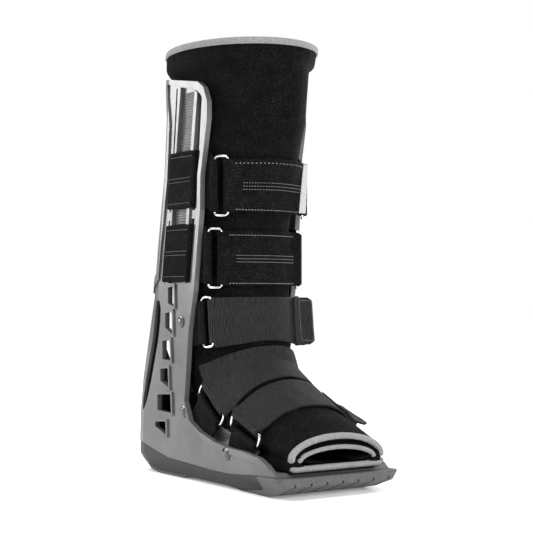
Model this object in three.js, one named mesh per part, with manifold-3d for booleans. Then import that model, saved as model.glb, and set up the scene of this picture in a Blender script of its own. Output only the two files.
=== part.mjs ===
// A tall walking boot for an injured foot: moulded shell with two uprights, rocker sole,
// soft liner, five straps with wire rings.
// Millimetres, +Z up, toe towards -Y, origin on the floor under the middle of the boot.
import * as THREE from 'three';
import { mergeVertices } from 'three/addons/utils/BufferGeometryUtils.js';
import Module from 'manifold-3d';

const wasm = await Module();
wasm.setup();

// Sole
const soleLength = 276;
const soleWidth = 131;
const soleThickness = 19;
const soleDraft = 12;
const toeSpring = 15;
const treadThickness = 3;
const treadGroove = 2;
const treadPitch = 17;
const treadEdge = 0.8;
const treadLip = 2;

// Shell
const shellHeight = 384;
const ankleSpan = 115;
const topSpan = 109;
const toeFlare = 5;
const shellWall = 3.5;
const floorWall = 3.2;
const flangeWidth = 5.5;
const flangeRise = 1.8;
const heelReach = 136;
const heelCorner = 24;
const backNotchWidth = 58;
const backNotchBase = 104;
const bandWidth = 26;
const bandRib = 5;
const frameSlot = 5.5;
const frameBar = 8;
const slotWidth = 11;
const windowLean = 1.5;
const windowRim = 2.2;
const frameInset = 6.5;
const slotInset = 5.5;
const rivetDiameter = 12;
const rivetShank = 5;
const rivetRise = 2.6;

// Liner
const linerRise = 24;
const linerWall = 5;
const calfDepth = 168;
const footWidth = 102;
const toeLevel = 66;
const bindingWidth = 5.5;
const bindingWall = 1.2;
const flapWall = 2.6;

// Straps and rings
const plushWidth = 50;
const plushThickness = 3.2;
const webWidth = 41;
const webThickness = 2.2;
const keeperThickness = 2.2;
const tabLength = 18;
const strapSlack = 0.7;
const tabReach = 16;
const tailLength = 32;
const patchOver = 2;
const ringWire = 3;
const ringReach = 14;
const gap = 0.3;
const meshTolerance = 0.03;

const linerHeight = shellHeight + linerRise;
const halfLength = soleLength / 2;
const halfWidth = soleWidth / 2;

// Rows of the shell: height, side reach at the ankle and towards the top, and rear reach
const shellRows = [
  { height: 0.02, span: 1.0, flare: 0, reach: 0.965 },
  { height: 0.08, span: 0.995, flare: 0, reach: 0.982 },
  { height: 0.16, span: 0.99, flare: 0, reach: 0.973 },
  { height: 0.24, span: 0.99, flare: 0, reach: 0.938 },
  { height: 0.34, span: 1.0, flare: 0, reach: 0.85 },
  { height: 0.45, span: 1.0, flare: 0.15, reach: 0.77 },
  { height: 0.60, span: 1.0, flare: 0.37, reach: 0.72 },
  { height: 0.80, span: 1.0, flare: 0.75, reach: 0.66 },
  { height: 1.02, span: 1.0, flare: 1.02, reach: 0.62 },
];

// Side edges of the shell, from the top down: height and place along the foot, as shares
const rearEdge = [
  { height: 1.0, place: 0.518 },
  { height: 0.898, place: 0.4764 },
  { height: 0.758, place: 0.4966 },
  { height: 0.594, place: 0.5722 },
  { height: 0.508, place: 0.605 },
  { height: 0.474, place: 0.733 },
  { height: 0.453, place: 0.9126 },
];
const frontEdge = [
  { height: 0.974, place: 0.0704 },
  { height: 0.958, place: -0.0024 },
  { height: 0.922, place: -0.0553 },
  { height: 0.88, place: -0.0575 },
  { height: 0.745, place: 0.0207 },
  { height: 0.659, place: 0.0207 },
  { height: 0.466, place: 0.0875 },
  { height: 0.37, place: 0.1468 },
  { height: 0.271, place: 0.181 },
  { height: 0.195, place: 0.21 },
  { height: 0.148, place: 0.145 },
  { height: 0.125, place: 0.014 },
  { height: 0.107, place: -0.181 },
  { height: 0.099, place: -0.362 },
  { height: 0.096, place: -0.536 },
  { height: 0.0885, place: -0.717 },
  { height: 0.0755, place: -0.812 },
  { height: 0.0625, place: -0.87 },
  { height: 0.0495, place: -0.913 },
];
const footEdgeHeight = 0.15;

// Seam between shell and sole, from the heel to the toe: place and height above the sole
const seamRows = [
  { place: 1.1, rise: 14 },
  { place: 0.82, rise: 11 },
  { place: 0.69, rise: 7 },
  { place: 0.56, rise: 3 },
  { place: 0.435, rise: -0.5 },
  { place: 0.2, rise: -2 },
  { place: -0.12, rise: -4 },
  { place: -0.36, rise: -4.1 },
  { place: -0.77, rise: 0 },
  { place: -1.1, rise: 0.8 },
];

// Underside of the sole, from the heel to the toe: place and height as shares
const underRows = [
  { place: 0.985, rise: 2.0 },
  { place: 0.965, rise: 1.5 },
  { place: 0.92, rise: 0.85 },
  { place: 0.85, rise: 0.4 },
  { place: 0.75, rise: 0.1 },
  { place: 0.65, rise: 0 },
  { place: 0.33, rise: 0 },
  { place: 0.22, rise: 0.15 },
  { place: -0.3, rise: 0.15 },
  { place: -0.42, rise: 0 },
  { place: -0.73, rise: 0 },
  { place: -0.84, rise: 0.22 },
  { place: -0.93, rise: 0.55 },
  { place: -1.1, rise: 1.15 },
];

// Plan of the sole: place along the foot and half width, as shares
const planRows = [
  { place: 1.0, width: 0 },
  { place: 0.993, width: 0.34 },
  { place: 0.96, width: 0.63 },
  { place: 0.90, width: 0.785 },
  { place: 0.78, width: 0.865 },
  { place: 0.60, width: 0.875 },
  { place: 0.30, width: 0.885 },
  { place: -0.10, width: 0.90 },
  { place: -0.50, width: 0.94 },
  { place: -0.86, width: 0.985 },
  { place: -0.955, width: 1.0 },
  { place: -0.985, width: 0.95 },
  { place: -1.0, width: 0.84 },
];
const draftRows = [
  { height: -0.3, draft: 1.0 },
  { height: 0.4, draft: 0.62 },
  { height: 0.92, draft: 0 },
  { height: 3.0, draft: 0 },
];

// Leg and foot of the liner, from the top rim to the toe. Height as a share of the shell's, lift
// above it as a share of the liner's rise, place of the centre, turn of the section in degrees,
// half width as a share of the room in the shell and half depth as a share of half the calf depth
const linerRows = [
  { height: 1, lift: 1, place: 0.145, turn: 0, width: 1.315, depth: 0.976 },
  { height: 1, lift: 0.3, place: 0.172, turn: 0, width: 1.27, depth: 1.0 },
  { height: 1, lift: 0.03, place: 0.166, turn: 0, width: 0.965, depth: 1.07 },
  { height: 0.878, lift: 0, place: 0.174, turn: 0, width: 0.965, depth: 1.004 },
  { height: 0.81, lift: 0, place: 0.18, turn: 0, width: 0.965, depth: 0.87 },
  { height: 0.701, lift: 0, place: 0.196, turn: 0, width: 0.965, depth: 0.724 },
  { height: 0.612, lift: 0, place: 0.217, turn: 0, width: 0.965, depth: 0.604 },
  { height: 0.474, lift: 0, place: 0.217, turn: 0, width: 0.93, depth: 0.64 },
  { height: 0.374, lift: 0, place: 0.217, turn: 6, width: 0.92, depth: 0.667 },
  { height: 0.273, lift: 0, place: 0.16, turn: 24, width: 0.9, depth: 0.643 },
  { height: 0.201, lift: 0, place: 0.01, turn: 48, width: 0.89, depth: 0.571 },
  { height: 0.1615, lift: 0, place: -0.25, turn: 62, width: 0.89, depth: 0.476 },
  { height: 0.1296, lift: 0, place: -0.55, turn: 72, width: 0.89, depth: 0.357 },
  { height: 0.1126, lift: 0, place: -0.76, turn: 80, width: 0.91, depth: 0.274 },
  { height: 0.0935, lift: 0, place: -0.95, turn: 84, width: 0.94, depth: 0.19 },
];
const footRows = [
  { place: 0.90, width: 0.56, top: 0.75 },
  { place: 0.80, width: 0.80, top: 1.1 },
  { place: 0.60, width: 0.92, top: 1.2 },
  { place: 0.30, width: 0.93, top: 1.12 },
  { place: 0.0, width: 0.93, top: 0.92 },
  { place: -0.40, width: 0.94, top: 0.72 },
  { place: -0.95, width: 1.0, top: 0.62 },
];

// Through windows of the heel truss, from the top down: place and height of the four corners
const windowRows = [
  { rear: 0.427, front: 0.347, top: 0.473, rearBase: 0.434, frontBase: 0.425 },
  { rear: 0.463, front: 0.365, top: 0.409, rearBase: 0.373, frontBase: 0.356 },
  { rear: 0.500, front: 0.390, top: 0.3385, rearBase: 0.293, frontBase: 0.29 },
  { rear: 0.530, front: 0.420, top: 0.268, rearBase: 0.238, frontBase: 0.222 },
  { rear: 0.572, front: 0.384, top: 0.203, rearBase: 0.164, frontBase: 0.16 },
  { rear: 0.600, front: 0.450, top: 0.134, rearBase: 0.122, frontBase: 0.104 },
];

// Long slot at the rear corner, round at the top and pointed at the bottom
const slotRows = [
  { height: 0.44, place: 0.583, half: 0.25 },
  { height: 0.42, place: 0.582, half: 0.46 },
  { height: 0.39, place: 0.589, half: 0.5 },
  { height: 0.34, place: 0.615, half: 0.5 },
  { height: 0.236, place: 0.72, half: 0.5 },
  { height: 0.18, place: 0.775, half: 0.37 },
  { height: 0.16, place: 0.795, half: 0.1 },
];

// Rivets: place and height as shares
const rivetRows = [
  { name: 'upper', place: 0.268, height: 0.388 },
  { name: 'middle', place: 0.235, height: 0.168 },
  { name: 'front', place: -0.326, height: 0.083 },
];

// Straps from the top down: place on the liner in rows from its top, height of the patch on the
// upright or share of the keeper's tail, ring place ahead of the section's centre in half depths,
// turn of the ring and how far the turned-back tab stands out past the far ring, as a share
const strapRows = [
  { name: 'calf_upper', at: 4.86, plush: true, patch: 0.737, ring: 0.60, turn: 40, tab: 0 },
  { name: 'calf_lower', at: 6.5, plush: true, patch: 0.557, ring: 0.60, turn: 44, tab: 0 },
  { name: 'ankle', at: 7.93, tail: 1.0, ring: 0.42, turn: 10, tab: 0.5 },
  { name: 'instep', at: 10.27, tail: 0.84, ring: -0.12, turn: -2, tab: 0 },
  { name: 'forefoot', at: 11.72, tail: 0.69, ring: -0.17, turn: -2, tab: 0.7 },
];

const grey = { color: 0x6f7276, roughness: 0.45, metalness: 0.1 };
const lightGrey = { color: 0x8d9094, roughness: 0.6, metalness: 0.0 };
const charcoal = { color: 0x2b2c2e, roughness: 0.7, metalness: 0.0 };
const soleGrey = { color: 0x55585b, roughness: 0.65, metalness: 0.0 };
const blackPlush = { color: 0x141415, roughness: 0.95, metalness: 0.0 };
const webbing = { color: 0x1f2022, roughness: 0.85, metalness: 0.0 };
const steel = { color: 0xc9ccd0, roughness: 0.2, metalness: 1.0 };

const boot = new THREE.Group();

// Solids from geometry, and meshes from solids
function solidOf(geometry) {
  const bare = geometry.clone();
  bare.deleteAttribute('normal');
  bare.deleteAttribute('uv');
  const merged = mergeVertices(bare, 1e-4);
  const mesh = new wasm.Mesh({
    numProp: 3,
    vertProperties: new Float32Array(merged.attributes.position.array),
    triVerts: new Uint32Array(merged.index.array),
  });
  return new wasm.Manifold(mesh);
}

function addMesh(name, solid, look) {
  const data = solid.simplify(meshTolerance).getMesh();
  const geometry = new THREE.BufferGeometry();
  geometry.setAttribute('position', new THREE.BufferAttribute(data.vertProperties, 3));
  geometry.setIndex(new THREE.BufferAttribute(data.triVerts, 1));
  geometry.computeVertexNormals();
  const mesh = new THREE.Mesh(geometry, new THREE.MeshStandardMaterial(look));
  mesh.name = name;
  boot.add(mesh);
  return mesh;
}

// Value of one column of a table at a place along another, on straight lines
function along(rows, key, at, column) {
  const rising = rows[0][key] < rows[rows.length - 1][key];
  const list = rising ? rows : [...rows].reverse();
  if (at <= list[0][key]) return list[0][column];
  for (let i = 1; i < list.length; i += 1) {
    const low = list[i - 1];
    const high = list[i];
    if (at <= high[key]) {
      const share = (at - low[key]) / (high[key] - low[key]);
      return low[column] + (high[column] - low[column]) * share;
    }
  }
  return list[list.length - 1][column];
}

// A closed body through rings of points, all with the same count
function loft(rings) {
  const count = rings[0].length;
  const position = rings.flat().flatMap((point) => [point.x, point.y, point.z]);
  const index = [];
  for (let i = 0; i + 1 < rings.length; i += 1) {
    for (let j = 0; j < count; j += 1) {
      const a = i * count + j;
      const b = i * count + ((j + 1) % count);
      index.push(a, b, b + count, a, b + count, a + count);
    }
  }
  index.push(...cap(rings[0], 0, true));
  index.push(...cap(rings[rings.length - 1], (rings.length - 1) * count, false));
  if (volumeOf(position, index) < 0) index.reverse();
  const geometry = new THREE.BufferGeometry();
  geometry.setAttribute('position', new THREE.Float32BufferAttribute(position, 3));
  geometry.setIndex(index);
  return geometry;
}

function cap(ring, first, turned) {
  const normal = new THREE.Vector3();
  ring.forEach((point, i) => {
    const next = ring[(i + 1) % ring.length];
    normal.add(new THREE.Vector3().crossVectors(point, next));
  });
  normal.normalize();
  const across = new THREE.Vector3().subVectors(ring[1], ring[0]).normalize();
  const up = new THREE.Vector3().crossVectors(normal, across);
  const flat = ring.map((point) => new THREE.Vector2(point.dot(across), point.dot(up)));
  const ringArea = THREE.ShapeUtils.area(flat);
  return THREE.ShapeUtils.triangulateShape(flat, []).flatMap((face) => {
    const same = THREE.ShapeUtils.area(face.map((i) => flat[i])) * ringArea > 0;
    const order = same === turned ? [face[2], face[1], face[0]] : face;
    return order.map((i) => i + first);
  });
}

function volumeOf(position, index) {
  const corner = (i) => new THREE.Vector3().fromArray(position, index[i] * 3);
  let sum = 0;
  for (let i = 0; i < index.length; i += 3) {
    sum += corner(i).dot(new THREE.Vector3().crossVectors(corner(i + 1), corner(i + 2)));
  }
  return sum;
}

// An outline in the side view (place along the foot, height) pushed through the whole boot
function sideBody(outline, from = -topSpan, to = topSpan) {
  const rings = [from, to].map((x) => outline.map(([y, z]) => new THREE.Vector3(x, y, z)));
  return solidOf(loft(rings));
}

// A strip of the side view between pairs of points, pushed through the whole boot
function sideStrip(pairs) {
  return solidOf(loft(pairs.map(([low, high]) => [
    new THREE.Vector3(-topSpan, ...low),
    new THREE.Vector3(topSpan, ...low),
    new THREE.Vector3(topSpan, ...high),
    new THREE.Vector3(-topSpan, ...high),
  ])));
}

// A round bar between two points
function cylinder(from, to, radius, sides) {
  const length = from.distanceTo(to);
  const geometry = new THREE.CylinderGeometry(radius, radius, length, sides);
  const up = new THREE.Vector3(0, 1, 0);
  const turn = new THREE.Quaternion().setFromUnitVectors(up, to.clone().sub(from).normalize());
  geometry.applyQuaternion(turn);
  geometry.translate(...from.clone().add(to).multiplyScalar(0.5).toArray());
  return solidOf(geometry);
}

// Shell

const ankleHalf = ankleSpan / 2;
const flareHalf = (topSpan - ankleSpan) / 2;
const column = (name, z) => along(shellRows, 'height', z / shellHeight, name);
const toeSpread = (y) => toeFlare * Math.max(0, -y / halfLength);
const spanAt = (z, y = 0) => (
  ankleHalf * column('span', z) + flareHalf * column('flare', z) + toeSpread(y)
);
const reachAt = (z) => heelReach * column('reach', z);
const seamAt = (y) => soleThickness + along(seamRows, 'place', y / halfLength, 'rise');
const roomAt = (z) => spanAt(Math.min(z, shellHeight)) - shellWall;

function shellRing(z, inset) {
  const side = spanAt(z) - inset;
  const back = reachAt(z) - inset;
  const corner = heelCorner - inset;
  const ring = [];
  const steps = 5;
  for (let i = 0; i <= steps; i += 1) {
    const angle = (i / steps) * Math.PI / 2;
    const x = side - corner + corner * Math.cos(angle);
    const y = back - corner + corner * Math.sin(angle);
    ring.push(new THREE.Vector3(x, y, z));
  }
  const front = -halfLength * 1.2;
  ring.unshift(new THREE.Vector3(spanAt(z, front) - inset, front, z), new THREE.Vector3(side, 0, z));
  const mirrored = ring.map((point) => new THREE.Vector3(-point.x, point.y, z)).reverse();
  return [...ring, ...mirrored];
}

function shellBody(inset) {
  return solidOf(loft(shellRows.map((row) => shellRing(row.height * shellHeight, inset))));
}

// Everything above the seam moved up by an offset
function aboveSeam(offset) {
  return sideStrip(seamRows.map((row) => {
    const y = row.place * halfLength;
    return [[y, seamAt(y) + offset], [y, shellHeight * 1.2]];
  }));
}

const edgePoint = (row) => [row.place * halfLength, row.height * shellHeight];

// Side outline of the shell, drawn in from its free edges by an inset
function shellOutline(inset) {
  const rear = rearEdge.map((row) => {
    const [y, z] = edgePoint(row);
    return [y - inset, z - inset];
  });
  const front = frontEdge.map((row, i) => {
    const [y, z] = edgePoint(row);
    const foot = row.height < footEdgeHeight;
    return foot ? [y, z - inset] : [y + inset, i < 2 ? z - inset : z];
  });
  const toe = front[front.length - 1];
  return [
    ...front.reverse(),
    ...rear,
    [halfLength * 1.2, rear[rear.length - 1][1]],
    [halfLength * 1.2, -soleThickness],
    [toe[0] - inset, -soleThickness],
  ];
}

// Recess and slots of each upright, in lines parallel to its front edge
const frontAt = (z) => halfLength * along(frontEdge.slice(2, 8), 'height', z / shellHeight, 'place');

function uprightStrip(from, to, top, bottom) {
  const heights = [top, (top + bottom) / 2, bottom];
  return sideStrip(heights.map((z) => [[frontAt(z) + from, z], [frontAt(z) + to, z]]))
    .intersect(sideBody(shellOutline(frameInset)));
}

const frameTop = shellHeight * 0.97;
const frameSplit = shellHeight * 0.651;
const frameBase = shellHeight * 0.484;
const frontSlotFrom = flangeWidth + slotInset;
const bandFrom = frontSlotFrom + frameSlot + bandRib;
const rearSlotFrom = bandFrom + bandWidth + bandRib;

function windowBody(row, rim = 0) {
  const rear = row.rear * halfLength + rim;
  const front = row.front * halfLength - rim;
  return sideBody([
    [rear, row.top * shellHeight + rim],
    [rear, row.rearBase * shellHeight - rim],
    [front, row.frontBase * shellHeight - rim],
    [front + windowLean, row.top * shellHeight + windowLean + rim],
  ]);
}

function rearSlot() {
  return sideStrip(slotRows.map((row) => {
    const middle = row.place * halfLength;
    const half = row.half * slotWidth;
    const z = row.height * shellHeight;
    return [[middle - half, z], [middle + half, z]];
  }));
}

// Opening at the back above the heel cup, between the two rear rails
function backNotch() {
  const half = backNotchWidth / 2;
  const outline = [
    [-half, shellHeight],
    [-half, backNotchBase + half * 0.7],
    [-half * 0.7, backNotchBase + half * 0.2],
    [-half * 0.35, backNotchBase],
  ];
  const mirrored = outline.map(([x, z]) => [-x, z]).reverse();
  const rings = [halfLength * 0.35, halfLength * 1.3].map((y) => (
    [...outline, ...mirrored].map(([x, z]) => new THREE.Vector3(x, y, z))
  ));
  return solidOf(loft(rings));
}

const shellOuter = shellBody(0);
const shellInner = shellBody(shellWall);
const raised = shellBody(-flangeRise);

let shell = shellOuter.subtract(shellInner.intersect(aboveSeam(floorWall)));
shell = shell.intersect(aboveSeam(0)).intersect(sideBody(shellOutline(0)));
const flange = raised.subtract(shellInner)
  .intersect(sideBody(shellOutline(0)))
  .subtract(sideBody(shellOutline(flangeWidth)))
  .intersect(aboveSeam(floorWall * 2));
shell = shell.add(flange);

// Ribs beside the band and the bars below each frame
const ribs = [bandFrom - bandRib, bandFrom + bandWidth];
ribs.forEach((from) => {
  const strip = uprightStrip(from, from + bandRib, frameTop, frameBase);
  shell = shell.add(raised.subtract(shellInner).intersect(strip));
});
const bandRecess = shellBody(shellWall * 0.5);
const bandStrip = uprightStrip(bandFrom, bandFrom + bandWidth, frameTop, frameBase);
shell = shell.subtract(shellBody(-flangeRise * 2).subtract(bandRecess).intersect(bandStrip));
const frameHeights = [
  [frameTop, frameSplit + frameBar / 2],
  [frameSplit - frameBar / 2, frameBase],
];
frameHeights.forEach(([top, bottom]) => {
  shell = shell.subtract(uprightStrip(frontSlotFrom, frontSlotFrom + frameSlot, top, bottom));
  shell = shell.subtract(uprightStrip(rearSlotFrom, rearSlotFrom + frameSlot, top, bottom));
});
windowRows.forEach((row) => {
  shell = shell.add(raised.subtract(shellInner).intersect(windowBody(row, windowRim)));
});
windowRows.forEach((row) => {
  shell = shell.subtract(windowBody(row));
});
shell = shell.subtract(rearSlot()).subtract(backNotch());
rivetRows.forEach((row) => {
  const y = row.place * halfLength;
  const z = row.height * shellHeight;
  const seat = spanAt(z, y) - gap;
  [1, -1].forEach((sign) => {
    const at = (x) => new THREE.Vector3(sign * x, y, z);
    shell = shell.subtract(cylinder(at(seat), at(halfWidth * 1.5), rivetDiameter / 2 + gap, 16));
    shell = shell.subtract(cylinder(at(seat / 2), at(seat + gap * 2), rivetShank / 2 + gap, 10));
  });
});
addMesh('shell', shell, grey);

// Rivets: a dome outside, a washer step under it and a shank through the shell and the keeper
rivetRows.forEach((row) => {
  const y = row.place * halfLength;
  const z = row.height * shellHeight;
  const seat = spanAt(z, y);
  const radius = rivetDiameter / 2;
  const shank = rivetShank / 2;
  const inside = roomAt(z) - gap - keeperThickness;
  const profile = [
    [0, inside], [shank, inside], [shank, seat], [radius, seat], [radius, seat + rivetRise * 0.3],
    [radius * 0.75, seat + rivetRise * 0.45], [radius * 0.5, seat + rivetRise * 0.85],
    [0, seat + rivetRise],
  ].map(([r, x]) => new THREE.Vector2(r, x));
  [1, -1].forEach((sign) => {
    const body = new THREE.LatheGeometry(profile, 10);
    body.rotateZ(-sign * Math.PI / 2);
    body.translate(0, y, z);
    const side = sign > 0 ? 'far' : 'near';
    addMesh(`rivet_${row.name}_${side}`, solidOf(body), grey);
  });
});

// Sole: a plan pushed up, cut by its side outline

function planBody(inset) {
  const rings = draftRows.map((row) => {
    const shrink = inset + row.draft * soleDraft;
    const side = planRows.map((point) => [
      point.width * (halfWidth - shrink),
      point.place * (halfLength - inset),
    ]);
    const mirrored = side.slice(1).map(([x, y]) => [-x, y]).reverse();
    const z = row.height * soleThickness;
    return [...side, ...mirrored].map(([x, y]) => new THREE.Vector3(x, y, z));
  });
  return solidOf(loft(rings));
}

const underAt = (y) => {
  const rise = along(underRows, 'place', y / halfLength, 'rise');
  return rise * (y < 0 ? toeSpring : soleThickness * 0.85);
};

// Strip of the side view between two height functions
function layer(from, to, lower, upper) {
  const steps = 20;
  const places = [];
  for (let i = 0; i <= steps; i += 1) places.push(from + (to - from) * (i / steps));
  return sideStrip(places.map((y) => [[y, lower(y)], [y, upper(y)]]));
}

const heelTreadFrom = halfLength * 0.3;
const heelTreadTo = halfLength * 0.93;
const toeTreadTo = -halfLength * 0.42;
const toeSplit = -halfLength * 0.70;
const treadTop = (y) => underAt(y) + treadThickness;
const toeTreadTop = (y) => {
  const share = THREE.MathUtils.clamp((toeTreadTo - y) / (toeTreadTo - toeSplit), 0, 1);
  return underAt(y) + treadEdge + (treadThickness + treadLip) * share;
};
const far = halfLength * 1.05;
const plan = planBody(0);

let midsole = plan.intersect(layer(toeSplit + gap, far, underAt, (y) => seamAt(y) - gap));
midsole = midsole.subtract(
  layer(heelTreadFrom - gap, heelTreadTo + gap, () => -soleThickness, (y) => treadTop(y) + gap),
);
midsole = midsole.subtract(layer(-far, toeTreadTo + gap, () => -soleThickness, (y) => toeTreadTop(y) + gap));
addMesh('midsole', midsole, charcoal);

const heelTread = plan.intersect(layer(heelTreadFrom, heelTreadTo, underAt, treadTop));
addMesh('outsole_heel', heelTread, soleGrey);

let toeTread = layer(-far, toeTreadTo, underAt, toeTreadTop)
  .add(layer(-far, toeSplit, underAt, (y) => seamAt(y) - gap));
toeTread = plan.intersect(toeTread);
const grooveCount = 2 * Math.floor(halfWidth * 0.8 / treadPitch) + 1;
for (let i = 0; i < grooveCount; i += 1) {
  const x = (i - (grooveCount - 1) / 2) * treadPitch;
  const groove = new THREE.BoxGeometry(treadGroove, halfLength * 0.5, treadGroove * 2);
  groove.translate(x, -halfLength * 1.07, 0);
  const height = underAt(-halfLength * 0.93);
  const slope = Math.atan2(underAt(-halfLength) - underAt(-halfLength * 0.84), halfLength * 0.16);
  groove.translate(0, halfLength * 0.93, 0);
  groove.rotateX(-slope);
  groove.translate(0, -halfLength * 0.93, height);
  toeTread = toeTread.subtract(solidOf(groove));
}
addMesh('outsole_toe', toeTread, soleGrey);

// Liner: one bent tube from the calf to the toes, with a flat foot

const linerTurn = (turn) => {
  const angle = THREE.MathUtils.degToRad(turn);
  return {
    ahead: new THREE.Vector3(0, -Math.cos(angle), Math.sin(angle)),
    down: new THREE.Vector3(0, -Math.sin(angle), -Math.cos(angle)),
  };
};

// Section of the liner at a count of rows from the top
function linerSection(at) {
  const i = THREE.MathUtils.clamp(Math.floor(at), 0, linerRows.length - 2);
  const mix = (name) => THREE.MathUtils.lerp(linerRows[i][name], linerRows[i + 1][name], at - i);
  const z = mix('height') * shellHeight + mix('lift') * linerRise;
  return {
    centre: new THREE.Vector3(0, mix('place') * halfLength, z),
    ...linerTurn(mix('turn')),
    width: mix('width') * roomAt(z),
    depth: mix('depth') * calfDepth / 2,
  };
}

const legSides = 28;
const lastRow = linerRows.length - 1;

function linerRing(at, inset) {
  const section = linerSection(at);
  const ring = [];
  for (let i = 0; i < legSides; i += 1) {
    const angle = (i / legSides) * 2 * Math.PI;
    ring.push(section.centre.clone()
      .add(new THREE.Vector3((section.width - inset) * Math.cos(angle), 0, 0))
      .addScaledVector(section.ahead, (section.depth - inset) * Math.sin(angle)));
  }
  return ring;
}

function linerTube(inset, stretch) {
  const rings = [];
  for (let i = 0; i <= lastRow; i += 1) rings.push(linerRing(i, inset));
  if (stretch > 0) {
    const lift = linerRing(0, inset).map((point) => point.clone().setZ(point.z + stretch));
    rings.unshift(lift);
    const last = linerSection(lastRow);
    rings.push(linerRing(lastRow, inset).map((point) => point.clone().addScaledVector(last.down, stretch)));
  }
  return solidOf(loft(rings));
}

// Flat-soled foot of the liner, with rounded shoulders
function footBody(inset, stretch) {
  const rings = footRows.map((row) => {
    const half = row.width * footWidth / 2 - inset;
    const top = row.top * toeLevel - inset;
    const y = row.place > 0.85 ? row.place * halfLength - inset : row.place * halfLength;
    const ring = [new THREE.Vector3(half * 0.93, y, 0), new THREE.Vector3(-half * 0.93, y, 0)];
    const steps = 10;
    for (let i = 0; i <= steps; i += 1) {
      const angle = Math.PI - (i / steps) * Math.PI;
      const rise = Math.sin(angle) ** 0.7;
      ring.push(new THREE.Vector3(half * Math.cos(angle), y, top * (0.45 + 0.55 * rise)));
    }
    return ring;
  });
  if (stretch > 0) {
    rings.push(rings[rings.length - 1].map((point) => point.clone().setY(point.y - stretch)));
  }
  return solidOf(loft(rings));
}

const linerFloor = floorWall + gap;
const toeFront = -halfLength * 0.95;
const stretch = 60;

// The liner's outside drawn in by an inset, and its inside, open at the rim and the toe
const linerTunnel = (inset, longer) => linerTube(inset, longer).add(footBody(inset, longer));
const linerBody = (inset, longer) => linerTunnel(inset, longer)
  .intersect(aboveSeam(linerFloor + inset));
const aheadOf = (from, to) => layer(from, to, () => -soleThickness, () => linerHeight * 1.2);

const linerInside = linerBody(linerWall, stretch);
const linerShape = linerBody(0, 0).subtract(linerInside).intersect(aheadOf(toeFront, far * 1.2));
addMesh('liner', linerShape, blackPlush);

// Bindings: a strip folded over an edge of the liner
const bindingOuter = gap + bindingWall;
const bindingInner = linerWall + gap + bindingWall;

function rimPlug(inset, low, high) {
  const fall = (linerRows[0].lift - linerRows[1].lift) * linerRise;
  const rings = [low, Math.min(0, high), high].map((offset) => {
    const at = Math.max(0, -offset / fall);
    return linerRing(at, inset).map((point) => point.clone().setZ(linerHeight + offset));
  });
  return solidOf(loft(high > 0 ? rings : rings.slice(0, 2)));
}

const rimBinding = rimPlug(-bindingOuter, -bindingWidth, bindingOuter)
  .subtract(rimPlug(bindingInner, -bindingWidth * 2, bindingOuter * 2))
  .subtract(rimPlug(-gap, -bindingWidth * 2, gap)
    .subtract(rimPlug(linerWall + gap, -bindingWidth * 3, gap * 2)));
addMesh('liner_top_binding', rimBinding.subtract(linerShape), lightGrey);

const toeSkin = (outer, inner, from, to) => linerBody(outer, stretch)
  .subtract(linerBody(inner, stretch))
  .intersect(aheadOf(from, to));
const toeBindingTo = toeFront + bindingWidth;
const toeBinding = toeSkin(-bindingOuter + gap, bindingInner, toeFront - bindingOuter, toeBindingTo)
  .subtract(toeSkin(-gap, linerWall + gap, toeFront - gap, toeFront + bindingWidth * 2));
const toeSplitHeight = seamAt(toeFront) + linerFloor + linerWall + gap * 2;
const aboveSplit = sideStrip([
  [[-halfLength * 1.2, toeSplitHeight + gap], [-halfLength * 1.2, linerHeight]],
  [[0, toeSplitHeight + gap], [0, linerHeight]],
]);
const belowSplit = sideStrip([
  [[-halfLength * 1.2, 0], [-halfLength * 1.2, toeSplitHeight]],
  [[0, 0], [0, toeSplitHeight]],
]);
addMesh('toe_upper_binding', toeBinding.intersect(aboveSplit), lightGrey);
const lowerBinding = toeBinding.intersect(belowSplit).intersect(aboveSeam(linerFloor));
addMesh('toe_lower_binding', lowerBinding, lightGrey);

// Inner flap: an arch that stands on the lower binding inside the toe opening
const flapOutside = bindingInner + gap * 4;
const flapBody = linerTunnel(flapOutside, stretch)
  .subtract(linerTunnel(flapOutside + flapWall, stretch))
  .intersect(aheadOf(toeFront, -halfLength * 0.6))
  .intersect(aboveSeam(linerFloor + bindingInner + gap));
addMesh('toe_inner_flap', flapBody, blackPlush);

// Straps, rings and keepers

const point2 = (x, y) => new THREE.Vector2(x, y);

// A flat path moved sideways by a distance, and the outline of a strip along a path
function offsetPath(path, distance) {
  return path.map((point, i) => {
    const before = path[Math.max(0, i - 1)];
    const after = path[Math.min(path.length - 1, i + 1)];
    const first = point.clone().sub(before).normalize();
    const second = after.clone().sub(point).normalize();
    const tangent = first.clone().add(second).normalize();
    const mitre = Math.max(0.6, tangent.dot(i > 0 ? first : second));
    return point.clone().addScaledVector(point2(-tangent.y, tangent.x), distance / mitre);
  });
}

const thickLine = (path, thickness) => [
  ...offsetPath(path, thickness / 2),
  ...offsetPath(path, -thickness / 2).reverse(),
];

// From flat coordinates (across, ahead) of a section to space
const place3 = (section, point) => section.centre.clone()
  .add(new THREE.Vector3(point.x, 0, 0))
  .addScaledVector(section.ahead, point.y);

// The taut line from ring to ring over the front of a section
function tautPath(section, ring, clear) {
  const width = section.width + clear;
  const depth = section.depth + clear;
  const squashed = point2(ring.x / width, ring.y / depth);
  const reach = squashed.length();
  const touch = reach > 1 ? squashed.angle() - Math.acos(1 / reach) * -1 : squashed.angle();
  const steps = 11;
  const path = [point2(ring.x, ring.y)];
  for (let i = 0; i <= steps; i += 1) {
    const angle = touch + (Math.PI - 2 * touch) * (i / steps);
    path.push(point2(width * Math.cos(angle), depth * Math.sin(angle)));
  }
  path.push(point2(-ring.x, ring.y));
  return path;
}

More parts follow.
